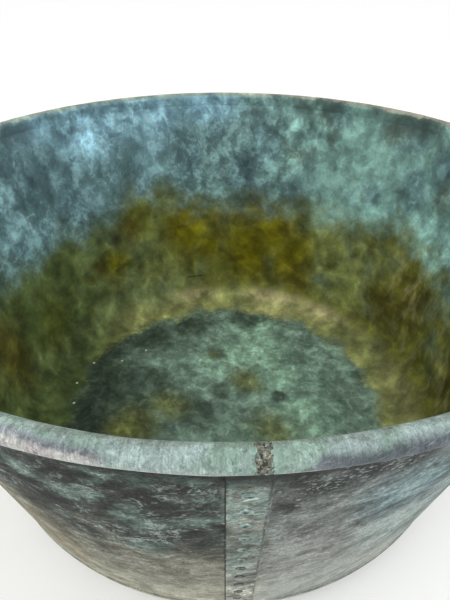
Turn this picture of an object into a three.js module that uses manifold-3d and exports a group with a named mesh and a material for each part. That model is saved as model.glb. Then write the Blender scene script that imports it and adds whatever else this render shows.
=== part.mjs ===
// An open riveted copper vessel: a tapering wall bent from one sheet and closed by a riveted lap
// seam, a dished base pan brazed round its foot, and a rolled rim band closed over an iron rod.
// Units are millimetres, +Z is up, the origin is the centre of the pan's underside, and the seam
// faces -Y. An azimuth is measured from -Y towards +X, in degrees.
import * as THREE from "three";
import { mergeVertices } from "three/addons/utils/BufferGeometryUtils.js";
import Module from "manifold-3d";

const wasm = await Module();
wasm.setup();

// ---- Driving dimensions ----
const HEIGHT = 402; // pan's underside to the top of the rim
const RIM_RADIUS = 400; // outermost radius of the rolled rim
const FLOOR_RADIUS = 251.5; // flat part of the pan
const PAN_KNUCKLE = 78; // outer radius of the pan's turned-up edge
const PAN_TOP = 60; // height of the pan's upper edge
const WALL_FOOT = 48; // height of the wall's lower edge, inside the pan
const WALL_SHEET = 2; // thickness of the wall
const PAN_SHEET = 2.2; // thickness of the pan
const SEAT_GAP = 0.5; // between the wall and the pan
const GAP = 0.3; // between any other two faces that touch

// Rim
const ROLL_RADIUS = 8.3; // outside of the roll's section
const BAND_SHEET = 1.6;
const ROD_RADIUS = 5;
const ROD_OFFSET = 1; // the rod lies against the outer side of the roll
const LEG_HEIGHT = 4; // how far the band hooks down inside the wall
const CURL_END = -120; // where the band's free edge stops, in degrees round its section
const WALL_TOP = 391.2; // the wall's upper edge, inside the roll
const RIM_JOINT = 3.05; // azimuth of the brazed butt in the band
const RIM_JOINT_WIDTH = 1.3; // its width, in degrees
const BRAZE_PROUD = 0.2; // how far the braze stands out of the band

// Lap seam
const LAP_EDGE = 0; // azimuth of the outer layer's edge
const LAP_END = 4; // azimuth of the inner layer's end
const JOGGLE = [4.15, 4.55, 4.95, 5.4]; // azimuths over which the outer layer steps in
const RESTART = 4.4; // azimuth where the full-height wall starts again
const FLAP_FOOT = 64.4; // the outer layer stops above the pan and its braze
const FLAP_TOP = 383.4; // and below the roll

// Rivets
const RIVET_COUNT = 11;
const RIVET_PITCH = 26; // along the wall
const RIVET_FIRST_Z = 345; // height of the top rivet
const RIVET_AZIMUTH = 2.1;
const SHANK_RADIUS = 2.1;
const HEAD_RADIUS = 4.5;
const HEAD_HEIGHT = 2;
const TAIL_RADIUS = 3.6;
const TAIL_HEIGHT = 1.3;

// Fineness
const AROUND = 72; // facets round the vessel
const STEP = 360 / AROUND;
const ROUND_STEPS = 9; // steps along an arc of the roll's section
const KNUCKLE_STEPS = 8; // along the pan's knuckle
const RIVET_SIDES = 8;
const ROD_SIDES = 8;

// ---- Derived dimensions ----
const rad = THREE.MathUtils.degToRad;
const rollCentre = new THREE.Vector2(RIM_RADIUS - ROLL_RADIUS, HEIGHT - ROLL_RADIUS);
const knuckleCentre = new THREE.Vector2(FLOOR_RADIUS, PAN_KNUCKLE);
const wallOuterArc = PAN_KNUCKLE - PAN_SHEET - SEAT_GAP;
const wallInnerArc = wallOuterArc - WALL_SHEET;
// The wall's outer face passes just inside the roll's free edge and is tangent to the foot's arc.
const wallAtRoll = new THREE.Vector2(387.6, 390);
const taper = taperAngle();
const outward = new THREE.Vector2(Math.cos(taper), -Math.sin(taper)); // normal of the wall's face

function taperAngle() {
  const run = wallAtRoll.clone().sub(knuckleCentre);
  return Math.acos(wallOuterArc / run.length()) - Math.atan2(run.y, run.x);
}

// Radius of the wall's straight outer face at a height.
function wallRadius(z) {
  return wallAtRoll.x + (z - wallAtRoll.y) * Math.tan(taper);
}

// ---- Materials ----
function metal(color, roughness, metalness) {
  return new THREE.MeshStandardMaterial({ color, roughness, metalness });
}

const WALL_COPPER = metal(0x5f7f7c, 0.75, 0.35);
const PAN_COPPER = metal(0x56706c, 0.75, 0.35);
const RIM_COPPER = metal(0x9fb8ae, 0.6, 0.45);
const RIVET_COPPER = metal(0x6d8f8b, 0.6, 0.45);
const BRAZE = metal(0x8a8262, 0.85, 0.3);
const IRON = metal(0x4a4440, 0.8, 0.7);

// ---- Helpers ----

// The way round the vessel at a list of azimuths, with a sideways offset at each one. A section
// swept along it keeps to the radial plane of each azimuth: its x runs inwards and its y upwards.
class Round extends THREE.Curve {
  constructor(azimuths, offsets) {
    super();
    this.azimuths = azimuths;
    this.offsets = offsets;
  }

  at(list, u) {
    const place = u * (list.length - 1);
    const i = Math.min(Math.floor(place), list.length - 2);
    return THREE.MathUtils.lerp(list[i], list[i + 1], place - i);
  }

  outwards(u) {
    const a = rad(this.at(this.azimuths, u));
    return new THREE.Vector3(Math.sin(a), -Math.cos(a), 0);
  }

  getPoint(u, target = new THREE.Vector3()) {
    return target.copy(this.outwards(u)).multiplyScalar(RIM_RADIUS + this.at(this.offsets, u));
  }

  getPointAt(u, target) {
    return this.getPoint(u, target);
  }

  computeFrenetFrames(segments) {
    const frames = { tangents: [], normals: [], binormals: [] };
    for (let i = 0; i <= segments; i++) {
      const normal = this.outwards(i / segments).negate();
      const binormal = new THREE.Vector3(0, 0, 1);
      frames.normals.push(normal);
      frames.binormals.push(binormal);
      frames.tangents.push(new THREE.Vector3().crossVectors(normal, binormal));
    }
    return frames;
  }
}

// A closed outline of (radius, height) points swept round the given azimuths.
function sweep(outline, azimuths, offsets = azimuths.map(() => 0)) {
  const shape = new THREE.Shape(outline.map((p) => new THREE.Vector2(RIM_RADIUS - p.x, p.y)));
  return new THREE.ExtrudeGeometry(shape, {
    steps: azimuths.length - 1,
    extrudePath: new Round(azimuths, offsets),
  });
}

// The azimuths from one place to another, with a station at every facet between them.
function stations(from, to) {
  const list = [from];
  for (let k = Math.floor(from / STEP) + 1; k * STEP < to - 0.2; k++) list.push(k * STEP);
  return [...list.filter((a, i) => i === 0 || a - from > 0.2), to];
}

// A closed (radius, height) outline turned about the vessel's axis.
function turned(outline, segments = AROUND) {
  return new THREE.LatheGeometry([...outline, outline[0]], segments).rotateX(Math.PI / 2);
}

// Points of an arc about a centre, with angles in degrees.
function arc(centre, radius, from, to, steps = ROUND_STEPS) {
  const points = [];
  for (let i = 0; i <= steps; i++) {
    const a = rad(THREE.MathUtils.lerp(from, to, i / steps));
    points.push(new THREE.Vector2(centre.x + radius * Math.cos(a), centre.y + radius * Math.sin(a)));
  }
  return points;
}

function solid(geometry) {
  const bare = geometry.index ? geometry.toNonIndexed() : geometry.clone();
  bare.deleteAttribute("normal");
  bare.deleteAttribute("uv");
  const merged = mergeVertices(bare, 1e-3);
  return new wasm.Manifold(
    new wasm.Mesh({
      numProp: 3,
      vertProperties: merged.attributes.position.array,
      triVerts: new Uint32Array(merged.index.array),
    }),
  );
}

function geometryOf(manifold) {
  const mesh = manifold.getMesh();
  const geometry = new THREE.BufferGeometry();
  geometry.setAttribute("position", new THREE.BufferAttribute(new Float32Array(mesh.vertProperties), 3));
  geometry.setIndex(new THREE.BufferAttribute(new Uint32Array(mesh.triVerts), 1));
  geometry.computeVertexNormals();
  return geometry;
}

const vessel = new THREE.Group();

function add(name, geometry, material) {
  const mesh = new THREE.Mesh(geometry, material);
  mesh.name = name;
  vessel.add(mesh);
  return mesh;
}

// ---- Wall ----

// Heights on the foot's arc become angles round its centre.
const arcAngle = (z, radius) => THREE.MathUtils.radToDeg(Math.asin((z - knuckleCentre.y) / radius));

// One layer of the wall between two heights. Its foot follows the pan's arc when it reaches it.
function layerOutline(foot, top) {
  const thick = outward.clone().multiplyScalar(WALL_SHEET);
  const head = new THREE.Vector2(wallRadius(top), top);
  const tangentAngle = -THREE.MathUtils.radToDeg(taper);
  const footOuter = new THREE.Vector2(wallRadius(foot), foot);
  const curved = foot < knuckleCentre.y + wallOuterArc * outward.y;
  const outer = curved
    ? arc(knuckleCentre, wallOuterArc, arcAngle(foot, wallOuterArc), tangentAngle, 3)
    : [footOuter];
  const inner = curved
    ? arc(knuckleCentre, wallInnerArc, tangentAngle, arcAngle(foot, wallInnerArc), 3)
    : [footOuter.clone().sub(thick)];
  return [...outer, head, head.clone().sub(thick), ...inner];
}

// The rivets' places: a point on the wall's outer face and the height down from the first one.
const rivetHeights = Array.from(
  { length: RIVET_COUNT },
  (_, i) => RIVET_FIRST_Z - i * RIVET_PITCH * Math.cos(taper),
);

// Puts a piece made along +Z, with z = 0 on the wall's outer face, onto the wall facing outwards.
function ontoWall(object, z) {
  const a = rad(RIVET_AZIMUTH);
  const facing = new THREE.Vector3(Math.sin(a) * outward.x, -Math.cos(a) * outward.x, outward.y);
  object.quaternion.setFromUnitVectors(new THREE.Vector3(0, 0, 1), facing);
  object.position.set(Math.sin(a) * wallRadius(z), -Math.cos(a) * wallRadius(z), z);
  object.updateMatrixWorld(true);
  return object;
}

function rivetHole(z) {
  const drill = new THREE.CylinderGeometry(SHANK_RADIUS + GAP, SHANK_RADIUS + GAP, 20, RIVET_SIDES);
  const placed = ontoWall(new THREE.Object3D(), z);
  return solid(drill.rotateX(Math.PI / 2).applyMatrix4(placed.matrixWorld));
}

const lapOffset = WALL_SHEET + GAP;

function wallSheet() {
  const sheet = sweep(layerOutline(WALL_FOOT, WALL_TOP), stations(RESTART, 360 + LAP_END));
  const steps = [lapOffset, lapOffset * 0.75, lapOffset * 0.25, 0];
  const flap = sweep(
    layerOutline(FLAP_FOOT, FLAP_TOP),
    [LAP_EDGE, LAP_END / 2, ...JOGGLE, RESTART + 2],
    [lapOffset, lapOffset, ...steps, 0],
  );
  const holes = rivetHeights.map(rivetHole);
  return geometryOf(holes.reduce((body, hole) => body.subtract(hole), solid(sheet).add(solid(flap))));
}

add("wall_sheet", wallSheet(), WALL_COPPER);

// ---- Seam rivets ----

// A domed head outside, a shank through both layers, and a flattened tail inside.
function rivet() {
  const seat = lapOffset + GAP; // the head's underside, above the wall's inner layer
  const tailSeat = -WALL_SHEET - GAP;
  const dome = arc(new THREE.Vector2(0, seat), HEAD_RADIUS, 0, 90, 4).map(
    (p) => new THREE.Vector2(p.x, seat + ((p.y - seat) * HEAD_HEIGHT) / HEAD_RADIUS),
  );
  const outline = [
    new THREE.Vector2(0, tailSeat - TAIL_HEIGHT),
    new THREE.Vector2(TAIL_RADIUS * 0.75, tailSeat - TAIL_HEIGHT),
    new THREE.Vector2(TAIL_RADIUS, tailSeat - TAIL_HEIGHT * 0.5),
    new THREE.Vector2(TAIL_RADIUS, tailSeat),
    new THREE.Vector2(SHANK_RADIUS, tailSeat),
    new THREE.Vector2(SHANK_RADIUS, seat),
    ...dome.slice(0, -1),
    new THREE.Vector2(0, seat + HEAD_HEIGHT),
  ];
  return new THREE.LatheGeometry(outline, RIVET_SIDES).rotateX(Math.PI / 2);
}

rivetHeights.forEach((z, i) => {
  ontoWall(add(`seam_rivet_${String(i + 1).padStart(2, "0")}`, rivet(), RIVET_COPPER), z);
});

// ---- Base pan ----

function basePan() {
  const inner = PAN_KNUCKLE - PAN_SHEET;
  return turned([
    new THREE.Vector2(0, 0),
    ...arc(knuckleCentre, PAN_KNUCKLE, -90, arcAngle(PAN_TOP, PAN_KNUCKLE), KNUCKLE_STEPS),
    ...arc(knuckleCentre, inner, arcAngle(PAN_TOP, inner), -90, KNUCKLE_STEPS),
    new THREE.Vector2(0, PAN_SHEET),
  ]);
}

add("base_pan", basePan(), PAN_COPPER);

// The bead of braze in the corner between the pan's upper edge and the wall.
function baseBraze() {
  const foot = PAN_TOP + GAP;
  const face = (z) => knuckleCentre.x + Math.sqrt(wallOuterArc ** 2 - (z - knuckleCentre.y) ** 2) + GAP;
  return turned([
    new THREE.Vector2(face(foot), foot),
    new THREE.Vector2(face(foot) + PAN_SHEET, foot),
    new THREE.Vector2(face(foot) + PAN_SHEET * 0.7, foot + 1.6),
    new THREE.Vector2(face(foot + 3.2), foot + 3.2),
  ]);
}

add("base_seam_braze", baseBraze(), BRAZE);

// ---- Rim ----

// The band's section: a short leg inside the wall, over the rod, down the outside and under.
function bandOutline(proud = 0) {
  const inner = ROLL_RADIUS - BAND_SHEET;
  return [
    new THREE.Vector2(rollCentre.x - ROLL_RADIUS - proud, rollCentre.y - LEG_HEIGHT),
    new THREE.Vector2(rollCentre.x - inner, rollCentre.y - LEG_HEIGHT),
    ...arc(rollCentre, inner, 180, CURL_END),
    ...arc(rollCentre, ROLL_RADIUS + proud, CURL_END, 180),
  ];
}

const jointStart = RIM_JOINT - RIM_JOINT_WIDTH / 2;
const jointEnd = RIM_JOINT + RIM_JOINT_WIDTH / 2;
const jointGap = THREE.MathUtils.radToDeg(GAP / RIM_RADIUS);

add("rim_band", sweep(bandOutline(), stations(jointEnd, 360 + jointStart)), RIM_COPPER);
add(
  "rim_joint_braze",
  sweep(bandOutline(BRAZE_PROUD), [jointStart + jointGap, jointEnd - jointGap]),
  BRAZE,
);

const rodRing = new THREE.TorusGeometry(rollCentre.x + ROD_OFFSET, ROD_RADIUS, ROD_SIDES, AROUND);
add("rim_rod", rodRing, IRON).position.z = rollCentre.y;

export default vessel;
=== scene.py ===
"""Looks for an open riveted copper vessel under a thick coat of verdigris.

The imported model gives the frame. Metres, +Z up, origin under the middle of the base, seam towards -Y.
An azimuth is measured from -Y towards +X.
"""
import math

import bpy
from mathutils import Matrix, Vector, noise


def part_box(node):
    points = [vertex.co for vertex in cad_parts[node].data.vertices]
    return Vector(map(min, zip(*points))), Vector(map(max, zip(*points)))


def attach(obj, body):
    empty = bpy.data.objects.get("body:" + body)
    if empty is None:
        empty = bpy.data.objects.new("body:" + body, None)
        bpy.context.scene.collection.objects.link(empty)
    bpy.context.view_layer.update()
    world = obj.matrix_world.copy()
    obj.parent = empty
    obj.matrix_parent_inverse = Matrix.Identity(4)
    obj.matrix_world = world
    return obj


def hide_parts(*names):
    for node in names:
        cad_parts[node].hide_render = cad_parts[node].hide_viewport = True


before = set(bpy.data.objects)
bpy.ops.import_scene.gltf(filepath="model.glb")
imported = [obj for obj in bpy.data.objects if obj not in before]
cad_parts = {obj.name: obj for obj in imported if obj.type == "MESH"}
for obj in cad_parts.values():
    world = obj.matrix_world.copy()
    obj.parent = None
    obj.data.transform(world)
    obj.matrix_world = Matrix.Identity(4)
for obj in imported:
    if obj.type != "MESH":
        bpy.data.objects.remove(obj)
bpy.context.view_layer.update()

MM = 0.001
rad = math.radians

# ---- Sizes taken from the frame ----
WALL_LOW, WALL_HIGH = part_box("wall_sheet")
PAN_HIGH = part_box("base_pan")[1]
RIM_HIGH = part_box("rim_band")[1]
BEAD_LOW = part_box("base_seam_braze")[0]
RIVET_NODES = sorted(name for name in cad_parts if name.startswith("seam_rivet_"))

# ---- Sheet-metal sizes ----
WALL_SHEET = 2 * MM
PAN_SHEET = 2.2 * MM
SEAT_GAP = 0.5 * MM
GAP = 0.3 * MM
FLOOR_RADIUS = 251.5 * MM
KNUCKLE = 78 * MM
ROLL_RADIUS = 8.4 * MM
BAND_SHEET = 1.6 * MM
ROD_RADIUS = 5 * MM
ROD_OFFSET = 1 * MM  # the rod lies against the outer side of the roll
RIM_MARGIN = 0.3 * MM  # keeps dents and braze inside the rim's box
LEG_FOOT = 381 * MM  # height of the leg's edge, dressed down thin against the wall
LEG_EDGE = 0.15 * MM  # the leg's thickness at that edge
CURL_END = -122  # degrees round the roll's section
WALL_AT_ROLL = Vector((387.6 * MM, 390 * MM))

# ---- Seam sizes ----
LAP_EDGE = 0  # azimuth of the outer layer's edge
LAP_WIDTH = 26.5 * MM
JOGGLE_WIDTH = 4 * MM
LAP_END = 4  # azimuth where the inner layer ends
RESTART = 4.4  # azimuth where the full-height wall starts
LAP_LIFT = WALL_SHEET + GAP
FLAP_FOOT = 64.4 * MM
FLAP_TOP = 383.8 * MM
SCARF = 80 * MM  # the wall thins over this height above its foot
SCARF_SHARE = 0.86  # the share of its thickness that is gone at the foot
FOOT_GAP = 0.06 * MM  # between the wall's foot and the pan
LIP_ARC = 11  # degrees of the pan's arc over which its lip thins
LIP_THINNING = 0.8 * MM
RIM_JOINT = 2.88  # azimuth of the butt joint in the rim
RIM_JOINT_WIDTH = 1
PATCH_REACH = 0.76  # the braze spreads this far each way from the joint, in degrees

# ---- Rivet sizes ----
SHANK_RADIUS = 2.1 * MM
HEAD_RADIUS = 4.5 * MM
HEAD_SEAT = 0.05 * MM  # between a head and the outer layer
TAIL_SEAT = 0.1 * MM
RIVET_SIDES = 28

# ---- Fineness, in degrees round the vessel ----
SHEET_STEP = 0.6
PAN_STEP = 0.75
JOINT_STEP = 0.05

# ---- Stage, light and camera ----
STAGE_HALF = 30
STAGE_DROP = 0.2 * MM  # keeps the stage just under the pan
SKY_STRENGTH = 1.05
LIGHT_TARGET = Vector((0, 0, 0.2))
LENS = 28.5  # millimetres, for a sensor 36 wide
CAMERA_BACK = 1.3546  # in rim radii from the axis
CAMERA_RISE = 0.5029  # in rim radii above the rim
CAMERA_DOWN = 35.8  # degrees below level

# ---- Derived ----
ROLL_CENTRE = Vector((RIM_HIGH[0] - RIM_MARGIN - ROLL_RADIUS, RIM_HIGH[2] - RIM_MARGIN - ROLL_RADIUS))
KNUCKLE_CENTRE = Vector((FLOOR_RADIUS, KNUCKLE))
WALL_ARC = KNUCKLE - PAN_SHEET - SEAT_GAP
RUN = WALL_AT_ROLL - KNUCKLE_CENTRE
TAPER = math.acos(WALL_ARC / RUN.length) - math.atan2(RUN.y, RUN.x)
OUTWARD = Vector((math.cos(TAPER), -math.sin(TAPER)))
TANGENT_Z = KNUCKLE_CENTRE.y + WALL_ARC * OUTWARD.y


# ---- Shape helpers ----

def place(azimuth, radius, z):
    """The point at an azimuth in degrees, a radius and a height."""
    a = rad(azimuth)
    return Vector((math.sin(a) * radius, -math.cos(a) * radius, z))


def azimuth_of(point):
    return math.degrees(math.atan2(point.x, -point.y))


def wall_radius(z):
    """Radius of the wall's straight outer face at a height."""
    return WALL_AT_ROLL.x + (z - WALL_AT_ROLL.y) * math.tan(TAPER)


def steps(start, end, size):
    """Evenly spaced numbers from start to end, about size apart."""
    count = max(1, round(abs(end - start) / size))
    return [start + (end - start) * i / count for i in range(count + 1)]


def arc(centre, radius, start, end, size=6):
    """Points of an arc in a (radius, height) section. Angles are in degrees."""
    return [centre + radius * Vector((math.cos(rad(a)), math.sin(rad(a)))) for a in steps(start, end, size)]


def wave(point, scale, seed=0):
    """Smooth noise between -1 and 1."""
    return noise.noise(point * scale + Vector((seed, seed * 0.7, -seed)))


def dent(azimuth, z):
    """How far the hand-made wall stands off its true cone."""
    p = place(azimuth, WALL_AT_ROLL.x, z)
    return (0.9 * wave(p, 4.2, 3.1) + 0.35 * wave(p, 15, 8.7) + 0.12 * wave(p, 42, 5.3)) * MM


def mesh_object(name, vertices, faces, materials, smooth_angle=40):
    mesh = bpy.data.meshes.new(name)
    mesh.from_pydata([tuple(v) for v in vertices], [], faces)
    for material in materials:
        mesh.materials.append(material)
    mesh.polygons.foreach_set("use_smooth", [True] * len(mesh.polygons))
    piece = bpy.data.objects.new(name, mesh)
    bpy.context.scene.collection.objects.link(piece)
    mesh.set_sharp_from_angle(angle=rad(smooth_angle))
    return piece


def store(piece, name, values):
    """Keeps a vector at each vertex for the materials to read."""
    data = piece.data.attributes.new(name, "FLOAT_VECTOR", "POINT").data
    data.foreach_set("vector", [c for v in values for c in v])


def joined(rings):
    return [v for ring in rings for v in ring]


def skin(rings, closed_round):
    """Quads over rings of points. Each ring is a closed section, and its second half mirrors its first."""
    size = len(rings[0])
    count = len(rings)
    faces = []
    for i in range(count if closed_round else count - 1):
        a, b = i * size, (i + 1) % count * size
        faces += [(a + j, b + j, b + (j + 1) % size, a + (j + 1) % size) for j in range(size)]
    if not closed_round:
        last = (count - 1) * size
        for j in range(size // 2 - 1):
            faces.append((j, j + 1, size - 2 - j, size - 1 - j))
            faces.append((last + j + 1, last + j, last + size - 1 - j, last + size - 2 - j))
    return faces


def spun(size, count):
    """Quads round an axis that every section starts and ends on, and the list of the points they use."""
    faces = []
    for i in range(count):
        a, b = i * size, (i + 1) % count * size
        faces += [(a + j, b + j, b + j + 1, a + j + 1) for j in range(1, size - 2)]
        faces.append((0, b + 1, a + 1))
        faces.append((a + size - 2, b + size - 2, size - 1))
    used = sorted({v for face in faces for v in face})
    index = {v: n for n, v in enumerate(used)}
    return [tuple(index[v] for v in face) for face in faces], used


def finish_piece(piece, slot, *nodes):
    """Fixes a piece to the frame in place of its CAD nodes."""
    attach(piece, "root")
    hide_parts(*nodes)
    return piece


# ---- Node helpers ----

class Graph:
    """A material and short names for the nodes it uses."""

    def __init__(self, name):
        self.material = bpy.data.materials.new(name)
        self.material.use_nodes = True
        self.tree = self.material.node_tree
        self.shader = self.tree.nodes["Principled BSDF"]
        self.point = self.node("ShaderNodeTexCoord").outputs["Object"]
        self.x, self.y, self.z = self.parts(self.point)

    def put(self, socket, value):
        if isinstance(value, bpy.types.NodeSocket):
            self.tree.links.new(value, socket)
        elif isinstance(value, tuple) and len(socket.default_value) == 4:
            socket.default_value = (*value, 1)
        else:
            socket.default_value = value

    def node(self, kind, settings=None, **inputs):
        made = self.tree.nodes.new(kind)
        for key, value in (settings or {}).items():
            setattr(made, key, value)
        for key, value in inputs.items():
            self.put(made.inputs[key.replace("_", " ")], value)
        return made

    def stored(self, name):
        return self.node("ShaderNodeAttribute", {"attribute_name": name}).outputs["Vector"]

    def parts(self, vector):
        return self.node("ShaderNodeSeparateXYZ", Vector=vector).outputs[:3]

    def join(self, x, y, z):
        return self.node("ShaderNodeCombineXYZ", X=x, Y=y, Z=z).outputs[0]

    def math(self, operation, a, b=0):
        made = self.node("ShaderNodeMath", {"operation": operation})
        self.put(made.inputs[0], a)
        self.put(made.inputs[1], b)
        return made.outputs[0]

    def add(self, a, b):
        return self.math("ADD", a, b)

    def less(self, a, b):
        return self.math("SUBTRACT", a, b)

    def times(self, a, b):
        return self.math("MULTIPLY", a, b)

    def most(self, a, b):
        return self.math("MAXIMUM", a, b)

    def vmath(self, operation, a, b=(0, 0, 0)):
        made = self.node("ShaderNodeVectorMath", {"operation": operation})
        self.put(made.inputs[0], a)
        self.put(made.inputs[1], b)
        return made.outputs["Value" if operation == "LENGTH" else "Vector"]

    def stretch(self, vector, x, y, z):
        return self.vmath("MULTIPLY", vector, (x, y, z))

    def noise(self, vector, scale, detail=4, roughness=0.55, distortion=0):
        made = self.node("ShaderNodeTexNoise", Vector=vector, Scale=scale, Detail=detail,
                         Roughness=roughness, Distortion=distortion)
        return made.outputs["Fac"]

    def warp(self, vector, scale, amount, detail=2):
        """Moves a vector about by noise, so that what is drawn with it curls."""
        made = self.node("ShaderNodeTexNoise", Vector=vector, Scale=scale, Detail=detail)
        centred = self.vmath("SUBTRACT", made.outputs["Color"], (0.5, 0.5, 0.5))
        return self.vmath("ADD", vector, self.stretch(centred, amount, amount, amount))

    def turned(self, vector, angle):
        """A vector turned about the Y axis, for patterns that slope across the front."""
        return self.node("ShaderNodeVectorRotate", {"rotation_type": "Y_AXIS"}, Vector=vector,
                         Angle=rad(angle)).outputs[0]

    def dabs(self, vector, scale, low=0.45, high=0.56, detail=3):
        """Flat dabs with quick edges, 0 between them and 1 on them."""
        return self.step(self.noise(vector, scale, detail, 0.5), low, high)

    def threads(self, vector, scale, width=0.03, detail=3):
        """Thin curling lines, 1 along each line."""
        away = self.math("ABSOLUTE", self.less(self.noise(vector, scale, detail), 0.5))
        return self.step(away, width, 0)

    def cells(self, vector, scale):
        made = self.node("ShaderNodeTexVoronoi", Vector=vector, Scale=scale)
        return made.outputs["Distance"], self.parts(made.outputs["Color"])[0]

    def step(self, value, low, high):
        """0 below low and 1 above high, smooth between. low may be the greater one."""
        made = self.node("ShaderNodeMapRange", {"interpolation_type": "SMOOTHSTEP"}, Value=value)
        self.put(made.inputs["From Min"], low)
        self.put(made.inputs["From Max"], high)
        return made.outputs[0]

    def mix(self, factor, a, b):
        made = self.node("ShaderNodeMix", {"data_type": "RGBA"})
        self.put(made.inputs[0], factor)
        self.put(made.inputs[6], a)
        self.put(made.inputs[7], b)
        return made.outputs[2]

    def over(self, color, mask, strength, top):
        """A colour with another over it where the mask is 1, at a strength from 0 to 1."""
        return self.mix(self.times(mask, strength), color, top)

    def blend(self, factor, a, b):
        """A number between a and b."""
        made = self.node("ShaderNodeMix", {"data_type": "FLOAT"})
        self.put(made.inputs[0], factor)
        self.put(made.inputs[2], a)
        self.put(made.inputs[3], b)
        return made.outputs[0]

    def sway(self, value, weight):
        """A noise taken from about one half to about 0, and weighted."""
        return self.times(self.less(value, 0.5), weight)

    def layered(self, *layers):
        """Weighted noises added about a middle of one half."""
        total = 0.5
        for value, weight in layers:
            total = self.add(total, self.sway(value, weight))
        return total

    def weathered(self, color, tone, contrast=8):
        """A colour that is darker where the tone is low and lighter where it is high."""
        gain = self.math("POWER", contrast, self.less(tone, 0.5))
        made = self.node("ShaderNodeVectorMath", {"operation": "SCALE"}, Vector=color, Scale=gain)
        return made.outputs["Vector"]

    def ragged(self, patches, noise, low=0.3, high=0.62, reach=1.4):
        """Soft patches broken up by a noise, with quick edges."""
        return self.step(self.add(patches, self.sway(noise, reach)), low, high)

    def spots(self, centres, squash=1, where=None):
        """The strongest of several soft patches, each 1 at its centre and 0 at its radius."""
        total = None
        for centre, radius in centres:
            away = self.vmath("SUBTRACT", where or self.point, tuple(centre))
            length = self.vmath("LENGTH", self.stretch(away, 1, 1, squash))
            patch = self.step(length, radius, radius * 0.15)
            total = patch if total is None else self.most(total, patch)
        return total

    def surface(self, color, roughness, height, depth, strength=0.6, metallic=0, specular=0.25):
        bump = self.node("ShaderNodeBump", Height=height, Distance=depth, Strength=strength)
        looks = {"Base Color": color, "Roughness": roughness, "Metallic": metallic,
                 "Specular IOR Level": specular, "Normal": bump.outputs[0]}
        for name, value in looks.items():
            self.put(self.shader.inputs[name], value)
        return self.material


# ---- Materials ----

SLATE = (0.155, 0.265, 0.262)
SKY_BLUE = (0.245, 0.445, 0.55)
TEAL_BLUE = (0.14, 0.245, 0.265)
DARK_SLATE = (0.085, 0.15, 0.165)
MINT = (0.225, 0.4, 0.355)
PALE_CRUST = (0.42, 0.63, 0.65)
OLIVE = (0.15, 0.158, 0.03)
OLIVE_GREEN = (0.13, 0.165, 0.066)
KHAKI_GREEN = (0.205, 0.23, 0.075)
MUSTARD = (0.16, 0.143, 0.004)
UMBER = (0.085, 0.07, 0.012)
KHAKI = (0.235, 0.25, 0.088)
PALE_KHAKI = (0.42, 0.415, 0.17)
MOSS = (0.062, 0.086, 0.026)
FLOOR_TEAL = (0.15, 0.225, 0.17)
FLOOR_MINT = (0.25, 0.4, 0.29)
FLOOR_DARK = (0.046, 0.066, 0.044)
FLOOR_OLIVE = (0.14, 0.15, 0.035)
MID_BLUE = (0.21, 0.37, 0.42)
DULL_GREEN = (0.12, 0.16, 0.12)
MINT_CRUST = (0.34, 0.55, 0.48)
SAGE = (0.125, 0.16, 0.08)
DARK_MUSTARD = (0.14, 0.145, 0.012)
SHADE_GREEN = (0.09, 0.125, 0.035)
PALE_STREAK = (0.25, 0.245, 0.13)
KNUCKLE_HIGHLIGHT = (0.5, 0.43, 0.23)
BROWN_SILT = (0.17, 0.15, 0.07)
UNDER_ROLL_SHADE = (0.05, 0.075, 0.065)
DRIP = (0.36, 0.56, 0.5)
FOOT_SHADOW_DASH = (0.02, 0.025, 0.012)
GRAIN = (0.62, 0.68, 0.5)


def on_wall(azimuth, z, depth=0):
    """A place on the wall, at a height in millimetres and a depth behind the outer face."""
    return place(azimuth, wall_radius(z * MM) - depth, z * MM)


def inner_spots(g, squash, *spots):
    """Soft patches on the inner wall. Each is an azimuth, a height and a radius, in millimetres."""
    return g.spots([(on_wall(a, z, WALL_SHEET), size * MM) for a, z, size in spots], squash, g.soft)


def floor_spots(g, *spots):
    """Soft patches on the floor. Each is an x, a y and a radius, in millimetres."""
    return g.spots([(Vector((x * MM, y * MM, 0)), size * MM) for x, y, size in spots], 1, g.soft)


def inner_upper(g):
    """Slate, with a bluer stretch at the left of the back and mint at the right."""
    drift = g.sway(g.broad, 0.25)
    side = g.add(g.x, drift)
    color = g.mix(g.step(side, -0.1, -0.27), SLATE, TEAL_BLUE)
    color = g.mix(g.step(side, 0.07, 0.19), color, MINT)
    blue = inner_spots(g, 1.7, (186, 385, 100), (202, 372, 130), (218, 362, 130), (234, 378, 80))
    color = g.over(color, blue, 0.9, SKY_BLUE)
    dark = inner_spots(g, 0.8, (192, 295, 60), (174, 262, 50), (183, 330, 40), (168, 315, 50),
                       (238, 320, 80), (127, 378, 60), (116, 345, 60), (158, 232, 45), (208, 262, 50),
                       (148, 384, 36), (123, 290, 50), (134, 262, 34), (228, 262, 60))
    color = g.over(color, g.ragged(dark, g.clouds, 0.2, 0.9, 1.2), 0.7, DARK_SLATE)
    color = g.over(color, inner_spots(g, 0.8, (203, 322, 60)), 0.7, MID_BLUE)
    brown = g.times(g.dabs(g.soft, 15, 0.52, 0.66), g.step(g.x, -0.05, 0.15))
    color = g.over(color, brown, 0.7, DULL_GREEN)
    color = g.weathered(color, g.tone)
    bright = inner_spots(g, 1.2, (150, 345, 60), (141, 275, 80), (122, 240, 70), (208, 370, 110),
                         (133, 310, 60), (240, 250, 60), (116, 190, 50), (128, 335, 50))
    crust = g.mix(g.step(side, 0.1, -0.05), MINT_CRUST, PALE_CRUST)
    pale = g.times(g.dashes, g.times(g.step(g.tone, 0.44, 0.66), g.blend(bright, 0.25, 0.75)))
    return g.mix(pale, color, crust)


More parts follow.
